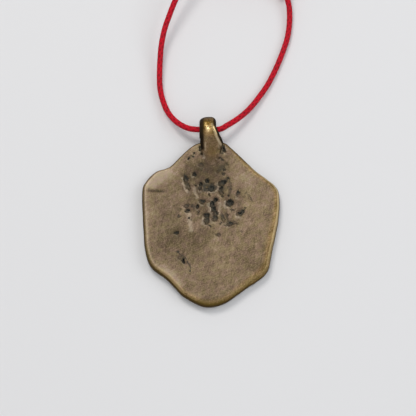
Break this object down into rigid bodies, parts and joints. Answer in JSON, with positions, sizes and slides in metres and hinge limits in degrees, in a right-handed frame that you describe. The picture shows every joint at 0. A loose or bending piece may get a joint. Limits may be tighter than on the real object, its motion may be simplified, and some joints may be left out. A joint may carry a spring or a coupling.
{
  "type": "amulet pendant",
  "caption": "Cast amulet plate with a thick lobed rim and a pitted, dished back, hung by its strap bail on a knotted red cord.",
  "frame": {"origin": "middle of the casting's width and length, on the surface that its front rim lies on", "axes": "+Y from the lower tip to the bail, +Z out of the back face, +X to the right seen from the back"},
  "size_m": [0.0398, 0.1123, 0.0075],
  "materials": {
    "aged_bronze": "worn satin patina",
    "bail_bronze": "darker patina, polished on the crown",
    "red_cord": "waxed braid"
  },
  "bodies": {
    "pendant": {"amulet_plate": "aged_bronze", "bail": "bail_bronze"},
    "cord": {"cord_left_run": "red_cord", "cord_right_run": "red_cord", "cord_coil": "red_cord", "cord_knot": "red_cord"}
  },
  "joints": [
    {"name": "cord_swing", "type": "hinge", "parent": "pendant", "child": "cord", "pos_m": [-0.0008, 0.0215, 0.0035], "axis": [1, 0, 0], "range_deg": [0, 150]}
  ]
}
